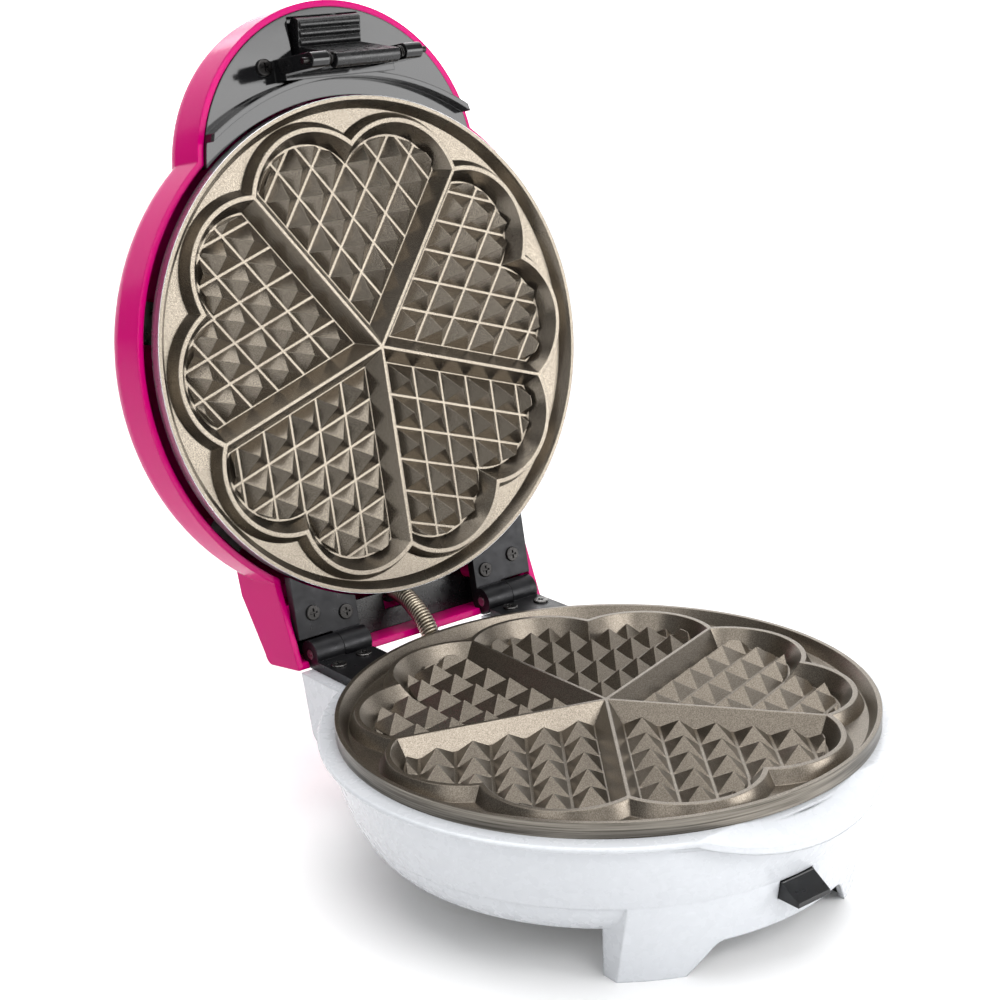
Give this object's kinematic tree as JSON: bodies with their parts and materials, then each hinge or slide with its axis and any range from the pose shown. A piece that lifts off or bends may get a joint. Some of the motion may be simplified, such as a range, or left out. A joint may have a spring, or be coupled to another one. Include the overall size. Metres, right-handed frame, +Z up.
{
  "type": "waffle maker",
  "caption": "Hinged waffle maker with round heart-patterned plates, a domed glossy lid, a front latch lever and a white footed base.",
  "frame": {"origin": "on the table, under the hub of the round plates", "axes": "+Z up, -Y to the front where the latch is, +X to the right seen from the front"},
  "size_m": [0.2094, 0.2941, 0.3051],
  "materials": {
    "white_housing": "satin moulded",
    "magenta_lid": "high gloss",
    "base_tray": "light grey enamel",
    "rubber": "matt",
    "black_plastic": "satin moulded",
    "nonstick_plate": "bronze-grey non-stick coating",
    "heater_sheath": "oxidised",
    "sheet_steel": "galvanised",
    "steel_fastener": "zinc plated",
    "aluminium_cap": "pressed",
    "fuse_sleeve": "woven glass sleeve",
    "ceramic_block": "glazed",
    "spring_steel": "close-wound wire",
    "charcoal_hinge": "charcoal satin",
    "lens_red": "translucent",
    "lens_green": "translucent"
  },
  "bodies": {
    "base": {"base_shell": "white_housing", "base_cover": "base_tray", "cover_screws": "steel_fastener", "foot_pads": "rubber", "front_catch": "black_plastic", "lower_plate": "nonstick_plate", "lower_heater": "heater_sheath", "lower_carrier": "sheet_steel", "lower_shield": "sheet_steel", "lower_thermostat": "aluminium_cap", "lower_fuse": "fuse_sleeve", "lower_plate_screws": "steel_fastener", "terminal_block": "ceramic_block", "cord_gland": "black_plastic", "spring_conduit": "spring_steel", "conduit_grommet": "black_plastic", "hinge_leaf_base_left": "charcoal_hinge", "hinge_leaf_base_right": "charcoal_hinge", "hinge_pin_left": "steel_fastener", "hinge_pin_right": "steel_fastener", "hinge_screws_base": "steel_fastener"},
    "lid": {"lid_shell": "magenta_lid", "lid_liner": "black_plastic", "lid_bezel": "black_plastic", "bezel_screws": "steel_fastener", "upper_plate": "nonstick_plate", "upper_heater": "heater_sheath", "upper_carrier": "sheet_steel", "upper_shield": "sheet_steel", "upper_thermostat": "aluminium_cap", "upper_fuse": "fuse_sleeve", "upper_plate_screws": "steel_fastener", "conduit_clamp": "black_plastic", "hinge_leaf_lid_left": "charcoal_hinge", "hinge_leaf_lid_right": "charcoal_hinge", "hinge_screws_lid": "steel_fastener", "lamp_lens_red": "lens_red", "lamp_lens_green": "lens_green", "lamp_holder": "black_plastic", "latch_pin": "steel_fastener", "latch_spring": "steel_fastener"},
    "latch": {"latch_lever": "black_plastic"}
  },
  "joints": [
    {"name": "lid_hinge", "type": "hinge", "parent": "base", "child": "lid", "pos_m": [0, 0.1118, 0.0622], "axis": [1, 0, 0], "range_deg": [0, 99.12], "deforming": ["spring_conduit"]},
    {"name": "latch_hinge", "type": "hinge", "parent": "lid", "child": "latch", "pos_m": [0, 0.12949, 0.28532], "axis": [1, 0, 0], "range_deg": [0, 167.6], "stiffness_Nm_per_rad": 0.004, "springref_deg": -45.84}
  ]
}
